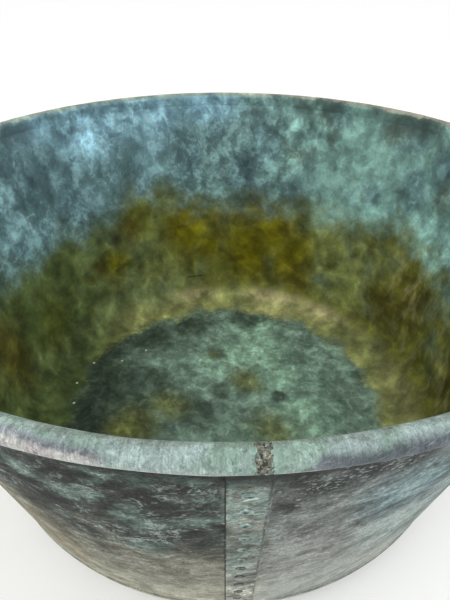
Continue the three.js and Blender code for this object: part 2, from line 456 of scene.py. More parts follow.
def inner_lower(g):
    """Olive and khaki with mustard and brown patches, all softly blurred into each other."""
    side = g.add(g.x, g.sway(g.broad, 0.3))
    color = g.mix(g.step(side, 0, -0.2), OLIVE, OLIVE_GREEN)
    khaki = inner_spots(g, 0.9, (138, 100, 110), (132, 150, 90), (205, 70, 70), (146, 180, 70))
    color = g.mix(khaki, color, KHAKI_GREEN)
    color = g.mix(inner_spots(g, 0.9, (160, 178, 50), (222, 80, 40)), color, KHAKI_GREEN)
    color = g.mix(g.dabs(g.soft, 13, 0.5, 0.66), color, SAGE)
    mustard = inner_spots(g, 0.8, (156, 90, 75), (164, 160, 85), (172, 115, 90), (161, 195, 45),
                          (194, 153, 66), (186, 110, 40), (220, 118, 46), (300, 100, 90),
                          (40, 120, 80), (0, 90, 60))
    color = g.over(color, mustard, 0.96, MUSTARD)
    color = g.over(color, inner_spots(g, 0.8, (249, 70, 60), (208, 190, 60)), 0.8, DARK_MUSTARD)
    color = g.over(color, g.step(g.x, -0.17, -0.3), 0.6, SHADE_GREEN)
    brown = inner_spots(g, 0.8, (153, 66, 50), (182, 150, 26), (225.5, 121, 26), (110, 130, 80),
                        (118, 95, 60), (270, 110, 80), (80, 120, 90), (212, 175, 40))
    color = g.over(color, brown, 0.8, UMBER)
    color = g.over(color, g.dabs(g.point, 24, 0.56, 0.68), 0.4, UMBER)
    runs = g.noise(g.stretch(g.warp(g.point, 20, 0.02), 1, 1, 0.25), 90, 3, 0.6)
    streaks = g.times(g.step(runs, 0.48, 0.6), g.step(g.x, 0.24, 0.33))
    color = g.over(color, streaks, 0.35, PALE_STREAK)
    return g.weathered(color, g.soft_tone)


def knuckle(g):
    """A painted highlight in a pale band round the knuckle, brightest at the back right."""
    color = g.mix(inner_spots(g, 0.5, (158, 8, 110), (143, 14, 80), (198, 10, 50)), KHAKI, PALE_KHAKI)
    # A painted highlight along the curve of the knuckle.
    knuckle_highlight = g.add(g.z, g.sway(g.blur, 0.03))
    knuckle_highlight = g.times(g.step(knuckle_highlight, 0.01, 0.019), g.step(knuckle_highlight, 0.034, 0.023))
    knuckle_highlight = g.times(knuckle_highlight, inner_spots(g, 0.6, (160, 20, 110), (140, 20, 80), (192, 20, 60)))
    color = g.over(color, knuckle_highlight, 0.65, KNUCKLE_HIGHLIGHT)
    color = g.over(color, inner_spots(g, 0.5, (206, 30, 60), (176, 40, 50)), 0.7, OLIVE_GREEN)
    color = g.mix(g.step(g.x, -0.16, -0.26), color, MOSS)
    color = g.over(color, g.step(g.x, 0.25, 0.32), 0.6, BROWN_SILT)
    return g.weathered(color, g.soft_tone)


def inner_floor(g):
    """Dark teal smeared with mint, with olive stains and a dark left side."""
    drift = g.sway(g.broad, 0.2)
    mint = floor_spots(g, (55, 130, 90), (100, 60, 80), (25, 195, 50), (130, -40, 80), (60, -90, 60),
                       (-30, 85, 50), (60, 200, 60))
    color = g.mix(mint, FLOOR_TEAL, FLOOR_MINT)
    color = g.mix(g.step(g.add(g.x, drift), -0.03, -0.22), color, FLOOR_DARK)
    teal = floor_spots(g, (-60, 60, 60), (-150, 100, 50), (-100, 130, 40))
    color = g.over(color, teal, 0.5, FLOOR_TEAL)
    dark = floor_spots(g, (-60, 205, 60), (-130, 165, 60), (40, 225, 50), (-50, -20, 60), (90, 15, 26),
                       (-10, 30, 30), (-170, -20, 80), (-190, 60, 60), (-120, 60, 40))
    # A noise has a star-shaped flaw at the origin, so the floor's are moved off it.
    aside = g.vmath("ADD", g.point, (0.37, 0.21, 0.13))
    clouds = g.noise(g.warp(aside, 9, 0.06), 17)
    color = g.over(color, g.ragged(dark, clouds, 0.2, 0.8, 1.2), 0.75, FLOOR_DARK)
    olive = floor_spots(g, (38, 50, 42), (-95, 0, 50), (-150, -55, 60), (80, -60, 60), (-20, 120, 26),
                        (20, -150, 60))
    color = g.over(color, olive, 0.75, FLOOR_OLIVE)
    smeared = g.warp(aside, 30, 0.03, 4)
    dabbed = g.dabs(smeared, 60, 0.47, 0.57)
    tone = g.layered((clouds, 1), (g.noise(smeared, 40, 5, 0.6), 1.3), (dabbed, 0.16),
                     (g.flecks, 0.1), (g.fine, 0.35))
    return g.weathered(color, tone, 7.5)


def inner_shade_under_roll(g, color):
    """Painted shade close under the roll, at the right and the far left."""
    # A band of painted shade under the roll's overhang.
    under = g.times(g.step(g.z, 0.35, 0.384), g.step(g.noise(g.point, 16), 0.4, 0.56))
    under = g.times(under, g.most(g.step(g.x, 0.02, 0.16), g.times(g.step(g.x, -0.2, -0.3), 0.7)))
    return g.over(color, under, 0.75, UNDER_ROLL_SHADE)


def inner_crust(g, color):
    """Pale drips and painted shade close under the roll, a short painted shadow line at the wall's foot and
    a few pale grains.
    """
    runs = g.noise(g.stretch(g.point, 1, 1, 0.3), 60)
    edge = g.add(g.z, g.times(g.less(runs, 0.42), 0.035))
    where = g.add(0.12, g.times(inner_spots(g, 0.6, (158, 388, 70), (170, 390, 50), (20, 390, 120)), 0.7))
    drip = g.times(g.step(edge, WALL_HIGH[2] - 0.004, WALL_HIGH[2]), where)
    color = inner_shade_under_roll(g, color)
    color = g.mix(drip, color, DRIP)
    # A short painted shadow cast by the wall's foot edge onto the pan.
    foot_shadow = g.spots([(on_wall(a, 48.5, WALL_SHEET), 10 * MM) for a in (189.5, 191.5, 193.5)], 4.5)
    color = g.over(color, foot_shadow, 0.8, FOOT_SHADOW_DASH)
    grains = g.spots([(place(a, r * MM, PAN_SHEET), 3.2 * MM) for a, r in
                      ((-99.7, 261), (-111.6, 257), (-89.7, 251), (-131, 197), (-118, 214))], 0.6)
    return g.over(color, grains, 0.9, GRAIN)


def inner_fields(g):
    """The noises that the inner wall is painted with."""
    g.soft = g.warp(g.point, 13, 0.05)
    g.broad = g.noise(g.point, 6, 3)
    g.clouds = g.noise(g.warp(g.point, 9, 0.06), 17)
    dabbed = g.stretch(g.warp(g.point, 26, 0.03, 3), 1, 1, 0.75)
    blobs = g.noise(dabbed, 36, 3, 0.55)
    strokes = g.dabs(dabbed, 58, 0.46, 0.57)
    g.flecks = g.dabs(g.warp(g.point, 60, 0.012), 130, 0.52, 0.59)
    leaning = g.stretch(g.turned(g.warp(g.point, 40, 0.012), 35), 1.9, 1, 0.8)
    g.dashes = g.most(g.dabs(leaning, 70, 0.53, 0.62), g.times(g.flecks, 0.5))
    g.fine = g.noise(g.point, 230, 4, 0.7)
    g.blur = g.noise(g.soft, 36, 3, 0.5)
    tone = g.layered((g.clouds, 1), (blobs, 1.1), (strokes, 0.14), (g.flecks, 0.06), (g.fine, 0.35))
    g.tone = g.add(0.5, g.times(g.less(tone, 0.5), g.blend(g.step(g.broad, 0.35, 0.65), 0.8, 1.35)))
    g.soft_tone = g.layered((g.clouds, 0.9), (g.blur, 1.3), (g.flecks, 0.05), (g.fine, 0.3))


def inside_patina():
    """Teal and blue verdigris above, olive below it, a pale ring with a painted highlight at the knuckle,
    and a dark teal floor.
    """
    g = Graph("inside_patina")
    inner_fields(g)
    radius = g.vmath("LENGTH", g.stretch(g.point, 1, 1, 0))
    level = g.add(g.z, g.add(g.sway(g.clouds, 0.12), g.sway(g.broad, 0.06)))
    level = g.less(level, g.times(inner_spots(g, 0.5, (205, 215, 80)), 0.045))
    level = g.less(level, g.times(inner_spots(g, 0.5, (184, 225, 110)), 0.014))
    level = g.less(level, g.times(inner_spots(g, 0.7, (118, 190, 90)), 0.03))
    color = g.mix(g.step(level, 0.16, 0.24), inner_lower(g), inner_upper(g))
    low = g.add(g.z, g.sway(g.blur, 0.035))
    color = g.mix(g.step(low, 0.038, 0.014), color, knuckle(g))
    edge = g.add(radius, g.sway(g.clouds, 0.07))
    edge = g.add(edge, g.sway(g.flecks, 0.006))
    color = g.mix(g.step(edge, 0.266, 0.238), color, inner_floor(g))
    color = inner_crust(g, color)
    height = g.add(g.tone, g.times(g.fine, 0.5))
    return g.surface(color, g.blend(g.tone, 0.75, 0.5), height, 0.0016, 0.4, 0, 0.13)


CHARCOAL = (0.038, 0.044, 0.037)
BLACK_COPPER = (0.014, 0.016, 0.013)
PURPLE_GREY = (0.128, 0.14, 0.132)
WARM_GREY = (0.145, 0.145, 0.112)
PALE_GREY = (0.36, 0.36, 0.285)
STONE_GREY = (0.22, 0.23, 0.212)
BEIGE = (0.26, 0.235, 0.155)
SEA_TEAL = (0.128, 0.205, 0.212)
GREEN_GREY = (0.065, 0.1, 0.084)
STRIP_TEAL = (0.2, 0.265, 0.23)
PALE_WISP = (0.36, 0.43, 0.39)
COOL_FOOT = (0.32, 0.345, 0.31)
PALE_TEAL = (0.26, 0.33, 0.315)
WARM_PATCH = (0.27, 0.27, 0.21)
STRIP_FOOT = (0.35, 0.365, 0.315)
STRIP_BROWN = (0.15, 0.15, 0.125)
STRIP_TOP = (0.085, 0.12, 0.105)
SEAM_SHADE_LINE = (0.014, 0.018, 0.016)
SCRATCH = (0.42, 0.48, 0.46)
VEIN = (0.2, 0.27, 0.24)
UNDER_RIM_SHADE = (0.012, 0.013, 0.011)
CHIP = (0.34, 0.4, 0.38)
SPECK = (0.5, 0.56, 0.53)


def outer_spots(g, squash, *spots):
    """Soft patches on the outer wall. Each is an azimuth, a height and a radius, in millimetres."""
    return g.spots([(on_wall(a, z), size * MM) for a, z, size in spots], squash, g.soft)


def outer_ground(g):
    """Charcoal under the rim, paler downwards, bluer at the right of the seam and beige at the left."""
    level = g.add(g.z, g.sway(g.broad, 0.16))
    level = g.add(level, g.sway(g.clouds, 0.1))
    right = g.step(g.x, 0, 0.05)
    level = g.less(level, g.times(right, 0.04))
    high = g.mix(right, CHARCOAL, PURPLE_GREY)
    middle = g.mix(right, WARM_GREY, STONE_GREY)
    foot = g.mix(right, PALE_GREY, COOL_FOOT)
    color = g.mix(g.step(level, 0.29, 0.17), high, middle)
    color = g.mix(g.step(level, 0.16, 0.06), color, foot)
    beige = outer_spots(g, 0.9, (-38, 190, 110), (-30, 120, 80), (250, 180, 140))
    color = g.over(color, beige, 0.8, BEIGE)
    teal = outer_spots(g, 0.8, (21, 290, 70), (33, 265, 70), (100, 250, 150), (170, 200, 140),
                       (290, 300, 120))
    color = g.over(color, teal, 0.85, SEA_TEAL)
    color = g.over(color, outer_spots(g, 0.8, (26, 205, 70), (34, 150, 60)), 0.7, PALE_TEAL)
    color = g.over(color, outer_spots(g, 0.8, (-3, 185, 50), (-3, 145, 60)), 0.5, WARM_PATCH)
    green = outer_spots(g, 1.4, (-8, 356, 36), (-3, 364, 26), (-16, 310, 40), (-2, 290, 24), (2, 366, 30),
                        (-10, 290, 40), (-2, 235, 22), (-12, 340, 30), (-1.5, 262, 18), (-9, 236, 40),
                        (-14, 358, 30), (-21, 330, 36), (-1.5, 325, 16), (-4, 285, 22))
    return g.over(color, g.ragged(green, g.torn, 0.2, 0.9), 0.9, GREEN_GREY)


def outer_black(g, color):
    """Bare black copper in ragged clouds, most of them at the left of the seam."""
    black = outer_spots(g, 1.2, (-5, 347, 26), (-8, 326, 30), (-6.4, 305, 30), (-3, 312, 18),
                        (-4.7, 270, 26), (-8.6, 258, 26), (-2.6, 248, 18), (-16, 342, 34), (-20, 280, 40),
                        (-19, 230, 34), (-13, 262, 26), (9.4, 338, 36), (7, 354, 24), (13, 352, 30),
                        (18, 348, 26), (6, 318, 18), (26, 330, 30), (120, 320, 90), (210, 330, 80),
                        (300, 250, 70))
    return g.over(color, g.ragged(black, g.torn, 0.2, 0.85), 0.85, BLACK_COPPER)


def lap_strip(g, color):
    """The mottled strip over the lap, with a painted shadow line at its free edge and a fainter painted
    shade line at its joggle.
    """
    across, on_flap, _ = g.parts(g.stored("lap"))
    ragged = g.add(across, g.sway(g.wisps, 0.006))
    strip = g.mix(g.step(g.z, 0.24, 0.1), STRIP_TEAL, STRIP_FOOT)
    strip = g.over(strip, g.dabs(g.soft, 45, 0.47, 0.6), 0.75, STRIP_BROWN)
    strip = g.over(strip, g.step(g.z, 0.335, 0.365), 0.6, STRIP_TOP)
    mask = g.times(on_flap, g.times(g.step(ragged, -0.001, 0.002), g.step(ragged, 0.03, 0.025)))
    color = g.over(color, mask, 0.8, g.weathered(strip, g.tone, 12))
    beside = g.times(g.step(across, -0.004, -0.0008), g.step(across, 0.0003, -0.0003))
    color = g.over(color, g.times(beside, g.step(g.clouds, 0.44, 0.62)), 0.4, PALE_WISP)
    # Painted shadow along the flap's free edge, and painted shade in the joggle's crease.
    free_edge_shadow = g.step(g.math("ABSOLUTE", g.less(across, 0.0002)), 0.0007, 0.0002)
    joggle = g.step(g.math("ABSOLUTE", g.less(ragged, 0.0272)), 0.0011, 0.0002)
    line = g.most(free_edge_shadow, g.times(joggle, g.times(g.step(g.clouds, 0.4, 0.55), 0.7)))
    color = g.mix(g.times(line, g.step(g.z, FLAP_FOOT - MM, FLAP_FOOT)), color, SEAM_SHADE_LINE)
    scratch = g.step(g.math("ABSOLUTE", g.less(ragged, 0.0292)), 0.001, 0.0001)
    return g.mix(g.times(scratch, g.times(g.flecks, 0.5)), color, SCRATCH)


def outer_fields(g):
    """The noises that the outer wall is painted with, all sloping down to one side."""
    flat = g.stretch(g.turned(g.point, 22), 0.85, 1, 1.35)
    curled = g.warp(flat, 30, 0.035)
    g.soft = g.warp(g.point, 16, 0.05, 4)
    g.broad = g.noise(g.point, 6, 3)
    g.clouds = g.noise(g.warp(flat, 14, 0.07, 3), 24, 7, 0.62)
    g.wisps = g.noise(curled, 70, 6, 0.68)
    g.flecks = g.dabs(g.warp(flat, 90, 0.012), 170, 0.53, 0.6)
    g.chips = g.dabs(g.warp(flat, 150, 0.008), 290, 0.56, 0.61)
    g.torn = g.layered((g.clouds, 1.7), (g.wisps, 1.3))
    veil = g.step(g.noise(g.soft, 30, 3), 0.42, 0.6)
    g.curls = g.threads(g.warp(curled, 80, 0.014, 3), 48, 0.035, 4)
    small_curls = g.threads(g.warp(flat, 120, 0.01), 120, 0.05)
    g.grain = g.noise(g.point, 420, 3, 0.7)
    g.tone = g.layered((g.clouds, 1.5), (g.wisps, 1.6), (g.grain, 0.9))
    drawn = g.times(g.most(g.curls, g.times(small_curls, 0.6)), veil)
    g.tone = g.add(g.tone, g.times(g.less(drawn, 0.25), 0.26))


def outer_rim_shade_and_marks(g, color):
    """Painted shade close under the rim, with chips just below it, and a few pale specks further down."""
    # A band of painted shade under the roll's overhang.
    under = g.step(g.add(g.z, g.sway(g.clouds, 0.04)), 0.354, 0.367)
    color = g.over(color, under, 0.88, UNDER_RIM_SHADE)
    near_top = outer_spots(g, 1.2, (10, 344, 40), (16, 351, 36), (-3, 346, 20), (24, 352, 30))
    color = g.over(color, g.times(near_top, g.chips), 0.55, CHIP)
    distance, pick = g.cells(g.stretch(g.point, 1, 1, 1.6), 150)
    picked = g.times(g.step(pick, 0.86, 0.9), g.step(g.broad, 0.48, 0.56))
    return g.over(color, g.times(g.step(distance, 0.3, 0.12), picked), 0.5, SPECK)


def outside_patina():
    """Charcoal copper marbled with curling pale wisps, teal along the lap, and paler towards the foot."""
    g = Graph("outside_patina")
    outer_fields(g)
    contrast = g.blend(g.step(g.z, 0.1, 0.3), 4.5, 14)
    color = outer_black(g, outer_ground(g))
    color = g.weathered(color, g.tone, g.blend(g.step(g.x, 0, 0.05), contrast, g.times(contrast, 0.7)))
    pale = g.times(g.step(g.tone, 0.66, 0.95), g.step(g.z, 0.1, 0.25))
    color = g.over(color, pale, 0.6, PALE_WISP)
    veins = g.times(g.times(g.curls, g.step(g.torn, 0.42, 0.6)), g.step(g.z, 0.14, 0.24))
    color = g.over(color, veins, 0.45, VEIN)
    color = outer_rim_shade_and_marks(g, lap_strip(g, color))
    height = g.add(g.tone, g.times(g.grain, 0.5))
    return g.surface(color, g.blend(g.tone, 0.78, 0.5), height, 0.0012, 0.5, 0, 0.16)


RIM_MINT = (0.21, 0.305, 0.255)
RIM_PALE = (0.28, 0.36, 0.345)
CHALK = (0.43, 0.425, 0.39)
PINK_CHALK = (0.39, 0.365, 0.36)
PLUM_GREY = (0.07, 0.08, 0.095)
MAUVE = (0.165, 0.175, 0.2)
DRAB = (0.15, 0.18, 0.14)
BACK_EDGE_GREEN = (0.23, 0.3, 0.25)
BACK_EDGE_TAN = (0.25, 0.26, 0.2)
RUBBED = (0.4, 0.45, 0.43)
RIM_SCRATCH = (0.36, 0.42, 0.44)
RIM_PIT = (0.07, 0.08, 0.07)
BRIGHT_EDGE = (0.6, 0.64, 0.6)
UNDERSIDE_SHADE = (0.008, 0.009, 0.008)


def rim_spots(g, squash, *spots):
    """Soft patches round the outside of the roll. Each is an azimuth and a radius in millimetres."""
    return g.spots([(place(a, RIM_HIGH[0], ROLL_CENTRE.y), size * MM) for a, size in spots], squash, g.soft)


def rim_inner_face(g, color, section):
    """At the back, the side of the roll that faces the axis has the wall's patina, with its painted shade
    under the roll, up to a drab edge.
    """
    inner_fields(g)
    level = g.add(section, g.sway(g.tone, 0.2))
    at_back = g.step(g.y, -0.1, 0.1)
    edge = g.mix(g.step(g.x, -0.1, 0.25), BACK_EDGE_GREEN, BACK_EDGE_TAN)
    color = g.mix(g.times(at_back, g.step(level, 0.5, 0.42)), color, g.weathered(edge, g.tone, 6))
    wall = inner_shade_under_roll(g, inner_upper(g))
    return g.mix(g.times(at_back, g.step(level, 0.175, 0.11)), color, wall)


def rim_left(g, color, lower, hairs):
    """Chalk and grey at the left of the seam, and hairs rubbed bright beside it."""
    left = rim_spots(g, 1, (-14, 45), (-20, 55), (-27, 60), (-34, 60), (95, 70), (150, 60), (250, 80))
    grey = g.times(g.step(left, 0.05, 0.3), g.times(g.step(lower, 0.36, 0.44), 0.8))
    color = g.mix(grey, color, MAUVE)
    chalk = g.times(g.step(left, 0.1, 0.35), g.step(lower, 0.44, 0.56))
    color = g.over(color, chalk, 0.95, g.mix(g.dabs(g.soft, 40), PINK_CHALK, CHALK))
    middle = g.step(rim_spots(g, 1, (-9, 40), (-3, 34)), 0.05, 0.4)
    rubbed = g.times(middle, g.times(g.step(lower, 0.5, 0.66), g.step(hairs, 0.42, 0.56)))
    return g.over(color, rubbed, 0.5, RUBBED)


def rim_pits_edge_and_shade(g, color, section, plum):
    """Pits all over, a bright line where the roll turns under, and painted shade on the underside beyond
    it.
    """
    g.pits = g.dabs(g.point, 190, 0.62, 0.68)
    color = g.over(color, g.pits, 0.5, RIM_PIT)
    bright_edge = g.times(g.step(section, 0.67, 0.7), g.step(section, 0.745, 0.73))
    color = g.mix(g.times(bright_edge, g.blend(plum, 0.7, 0.12)), color, BRIGHT_EDGE)
    # Painted shade on the underside of the roll.
    return g.mix(g.step(section, 0.73, 0.75), color, UNDERSIDE_SHADE)


def rim_patina():
    """Mint verdigris, rubbed to chalk at the left of the seam and flaked to plum at the right."""
    g = Graph("rim_patina")
    along, section, _ = g.parts(g.stored("sheet"))
    flat = g.join(along, section, 0)
    g.soft = g.warp(g.point, 30, 0.03)
    combed = g.stretch(g.warp(flat, 30, 0.003), 950, 3, 1)
    hairs = g.noise(combed, 1, 4, 0.7)
    slanted = g.join(g.add(g.times(along, 500), g.times(section, 40)), g.times(section, 14), 0)
    scratches = g.step(g.noise(slanted, 1, 3, 0.65), 0.55, 0.68)
    clouds = g.noise(g.warp(g.point, 26, 0.03, 4), 40, 6, 0.66)
    fine = g.noise(g.warp(g.point, 120, 0.008), 210, 5, 0.7)
    grain = g.noise(g.point, 620, 3, 0.7)
    tone = g.layered((clouds, 0.6), (hairs, 0.8), (fine, 0.8), (grain, 0.5))
    ragged = g.add(g.sway(clouds, 0.35), g.sway(fine, 0.25))
    lower = g.add(section, ragged)

    color = g.mix(g.dabs(g.soft, 32, 0.42, 0.58), RIM_MINT, RIM_PALE)
    color = g.over(color, g.step(lower, 0.34, 0.26), 0.5, DRAB)
    color = rim_left(g, color, lower, hairs)
    right = rim_spots(g, 1, (9, 24), (13, 34), (18, 44), (25, 55), (32, 55), (75, 70), (200, 80),
                      (310, 70))
    plum = g.times(g.step(right, 0.1, 0.35), g.step(lower, 0.38, 0.52))
    color = g.over(color, plum, 0.9, PLUM_GREY)
    mauve = g.times(g.step(clouds, 0.5, 0.62), g.step(section, 0.3, 0.6))
    color = g.over(color, mauve, 0.3, MAUVE)
    color = g.weathered(color, tone, 9)

    drawn = g.times(scratches, g.step(right, 0.02, 0.3))
    color = g.over(color, drawn, 0.45, RIM_SCRATCH)
    color = rim_pits_edge_and_shade(g, color, section, plum)
    color = rim_inner_face(g, color, section)
    height = g.add(tone, g.times(g.pits, -0.4))
    return g.surface(color, g.blend(tone, 0.72, 0.5), height, 0.001, 0.5, 0, 0.2)


RIVET_TEAL = (0.17, 0.24, 0.215)
RIVET_GREY = (0.17, 0.175, 0.15)
CROWN = (0.03, 0.042, 0.04)
PALE_RING = (0.33, 0.43, 0.4)
RING_SHADOW = (0.03, 0.032, 0.027)
SPELTER = (0.2, 0.2, 0.16)
SPELTER_GREEN = (0.17, 0.21, 0.175)
SPELTER_PIT = (0.022, 0.026, 0.018)
SEAM_FUR = (0.3, 0.33, 0.28)
BARE_IRON = (0.05, 0.042, 0.04)
RUST = (0.22, 0.1, 0.05)


def rivet_patina():
    """The strip's own crust over a low head, with a broken pale ring, a dark hollow at the crown and
    painted shadow arcs round the lower heads.
    """
    g = Graph("rivet_patina")
    out, height_up, _ = g.parts(g.stored("head"))
    blotch = g.noise(g.warp(g.point, 120, 0.006), 210, 5, 0.65)
    grain = g.noise(g.point, 900, 3, 0.7)
    tone = g.layered((blotch, 1.4), (grain, 0.6))
    low = g.step(g.z, 0.3, 0.16)
    color = g.mix(low, RIVET_TEAL, RIVET_GREY)
    crown = g.step(g.add(out, g.sway(blotch, 1.6)), 0.5, 0.3)
    color = g.over(color, crown, 0.85, CROWN)
    ring = g.times(g.step(out, 0.66, 0.86), g.dabs(g.point, 110, 0.42, 0.54))
    color = g.mix(g.times(ring, g.blend(low, 0.7, 0.4)), color, PALE_RING)
    # Painted shadow arcs round the edges of the heads low on the wall.
    ring_shadow = g.times(g.step(out, 0.6, 0.9), g.times(g.dabs(g.point, 150, 0.58, 0.5), low))
    color = g.over(color, ring_shadow, 0.8, RING_SHADOW)
    color = g.weathered(color, tone)
    return g.surface(color, 0.7, g.add(tone, height_up), 0.0006, 0.6, 0, 0.2)


def braze_crust():
    """Rough brass spelter: curling grey grains with dark pits and green in the hollows."""
    g = Graph("braze_crust")
    curled = g.warp(g.point, 300, 0.004, 3)
    grains = g.noise(curled, 520, 4, 0.7)
    threads = g.threads(curled, 420, 0.07)
    clouds = g.noise(g.point, 140)
    tone = g.layered((grains, 1.7), (threads, 0.25), (clouds, 0.4))
    color = g.mix(g.dabs(g.point, 130, 0.44, 0.6), SPELTER, SPELTER_GREEN)
    color = g.weathered(color, tone, 18)
    pits = g.dabs(g.warp(g.point, 300, 0.004), 430, 0.55, 0.61)
    color = g.over(color, pits, 0.85, SPELTER_PIT)
    return g.surface(color, 0.82, g.add(tone, g.times(pits, -0.6)), 0.0007, 0.7, 0, 0.2)


def seam_crust():
    """Braze along the pan's edge, furred over to the grey of the wall."""
    g = Graph("seam_crust")
    blotch = g.noise(g.point, 34, 7, 0.65, 0.3)
    grain = g.noise(g.point, 320, 4, 0.7)
    tone = g.layered((blotch, 1.3), (grain, 0.8))
    color = g.weathered(g.mix(g.dabs(g.point, 60), PALE_GREY, SEAM_FUR), tone)
    return g.surface(color, 0.8, tone, 0.0012, 0.7, 0)


def rod_rust():
    """Iron under a thin rust, for the rod closed inside the roll."""
    g = Graph("rod_rust")
    blotch = g.noise(g.point, 40, 7, 0.65, 0.3)
    grain = g.noise(g.point, 500, 4, 0.7)
    color = g.mix(g.step(blotch, 0.38, 0.6), BARE_IRON, RUST)
    color = g.weathered(color, g.layered((grain, 1)))
    return g.surface(color, g.blend(blotch, 0.55, 0.9), g.add(blotch, grain), 0.0008, 0.6, 0.5)


def pale_floor():
    """Near-white paper for the vessel to stand on."""
    g = Graph("pale_floor")
    tone = g.noise(g.point, 3, 3)
    color = g.mix(tone, (0.93, 0.93, 0.925), (0.96, 0.96, 0.96))
    return g.surface(color, 0.9, tone, 0.001, 0.05, 0, 0.1)


# ---- Pieces ----

def wall_line(foot, top, size=5 * MM):
    """(place, normal) pairs up the wall's outer face in a (radius, height) section."""
    line = []
    if foot < TANGENT_Z:
        start = math.degrees(math.asin((foot - KNUCKLE_CENTRE.y) / WALL_ARC))
        for a in steps(start, -math.degrees(TAPER), 1.5)[:-1]:
            normal = Vector((math.cos(rad(a)), math.sin(rad(a))))
            line.append((KNUCKLE_CENTRE + WALL_ARC * normal, normal))
    for z in steps(max(foot, TANGENT_Z), top, size):
        line.append((Vector((wall_radius(z), z)), OUTWARD))
    return line


def sheet_ring(line, azimuth_at, lift, thin=0, scarf=SCARF_SHARE):
    """One closed section of the wall: its outer face from foot to top, then its inner face back down."""
    outer, inner = [], []
    for point, normal in line:
        azimuth = azimuth_at(point.x)
        near_foot = max(0, 1 - (point.y - WALL_LOW[2]) / SCARF)
        shift = dent(azimuth, point.y) * (1 - near_foot) + lift + near_foot * (SEAT_GAP - FOOT_GAP)
        out = point + normal * (shift - thin)
        back = point + normal * (shift - WALL_SHEET * (1 - scarf * near_foot) + thin)
        outer.append(place(azimuth, out.x, out.y))
        inner.append(place(azimuth, back.x, back.y))
    return outer + inner[::-1]


def seam_distance(point):
    """Arc length from the outer layer's edge, along the wall."""
    return rad(azimuth_of(point) - LAP_EDGE) * math.hypot(point.x, point.y)


def flap_rings():
    """Sections of the lap's outer layer, from its rounded free edge to the joggle that steps it in."""
    line = wall_line(FLAP_FOOT, FLAP_TOP)
    width = LAP_WIDTH / MM
    # (distance from the free edge, thinning of each face there), in millimetres
    stations = [(0, 0.6), (0.15, 0.3), (0.45, 0.08), (0.9, 0)]
    stations += [(s, 0) for s in steps(3, 25, 2.75)] + [(width + s, 0) for s in steps(0, 5, 0.5)]
    rings = []
    for s, thin in stations:
        drop = min(1, max(0, (s - width) / (JOGGLE_WIDTH / MM)))
        lift = LAP_LIFT * (1 - drop * drop * (3 - 2 * drop)) - 0.25 * MM * max(0, s - 30)
        azimuth_at = lambda radius, s=s: LAP_EDGE + math.degrees(s * MM / radius)
        rings.append(sheet_ring(line, azimuth_at, lift, thin * MM, 0))
    return rings


def shows_outside(face, size):
    """Whether a face of a skin lies in the first half of its section, the outer face."""
    return max(v % size for v in face) < size // 2


def make_wall(outside, inside):
    """The full-height sheet, and the outer layer of its lap."""
    line = wall_line(WALL_LOW[2], WALL_HIGH[2])
    sheet = [sheet_ring(line, lambda radius, a=a: a, 0) for a in steps(RESTART, 360 + LAP_END, SHEET_STEP)]
    vertices = joined(sheet)
    faces = skin(sheet, False)
    materials = [0 if shows_outside(face, len(sheet[0])) else 1 for face in faces]
    start = len(vertices)
    rings = flap_rings()
    for face in skin(rings, False):
        # The lowest corner of the free edge shows too.
        materials.append(0 if shows_outside(face, len(rings[0])) or min(face) == 0 else 1)
        faces.append(tuple(v + start for v in face))
    flap = joined(rings)
    wall = mesh_object("wall_copper", vertices + flap, faces, [outside, inside])
    wall.data.polygons.foreach_set("material_index", materials)
    store(wall, "lap", [(seam_distance(v), 0, 0) for v in vertices]
          + [(seam_distance(v), 1, 0) for v in flap])
    return finish_piece(wall, "wall_copper", "wall_sheet")


def pan_section():
    """The pan's outer face from the middle out, then its inner face from its edge back in."""
    top_angle = math.degrees(math.asin((PAN_HIGH[2] - KNUCKLE) / KNUCKLE))
    floor = [Vector((r, 0)) for r in steps(0, FLOOR_RADIUS, 6 * MM)[:-1]]
    outer = floor + arc(KNUCKLE_CENTRE, KNUCKLE, -90, top_angle - LIP_ARC, 2.5)
    for a in steps(top_angle - LIP_ARC, top_angle, 1)[1:]:
        thin = (a - top_angle + LIP_ARC) / LIP_ARC * LIP_THINNING
        outer.append(KNUCKLE_CENTRE + (KNUCKLE - thin) * Vector((math.cos(rad(a)), math.sin(rad(a)))))
    inner_top = math.degrees(math.asin((PAN_HIGH[2] - KNUCKLE) / (KNUCKLE - PAN_SHEET)))
    inner = arc(KNUCKLE_CENTRE, KNUCKLE - PAN_SHEET, inner_top, -90, 2.5)
    return outer, inner + [Vector((p.x, PAN_SHEET)) for p in floor[::-1]]


def make_pan(outside, inside):
    """The raised pan: a flat floor that waves a little, a rounded knuckle and a lip that laps the wall."""
    outer, inner = pan_section()
    section = outer + inner
    stations = steps(0, 360, PAN_STEP)[:-1]
    vertices = []
    for a in stations:
        for i, p in enumerate(section):
            where = place(a, p.x, p.y)
            swell = (0.6 * wave(where, 7, 1.3) + 0.25 * wave(where, 24, 4.4)) * MM
            if i < len(outer):
                swell = max(0, swell) * min(1, p.y / (8 * MM))
                vertices.append(place(a, p.x - swell * 0.5, p.y + swell * 0.3))
            else:
                at_floor = max(0, 1 - p.y / (20 * MM))
                vertices.append(place(a, p.x, p.y + (0.4 * MM + 0.5 * swell) * at_floor))
    faces, used = spun(len(section), len(stations))
    materials = [0 if max(used[v] % len(section) for v in f) <= len(outer) else 1 for f in faces]
    pan = mesh_object("pan_copper", [vertices[v] for v in used], faces, [outside, inside])
    pan.data.polygons.foreach_set("material_index", materials)
    store(pan, "lap", [(1, 0, 0)] * len(used))
    return finish_piece(pan, "pan_copper", "base_pan")


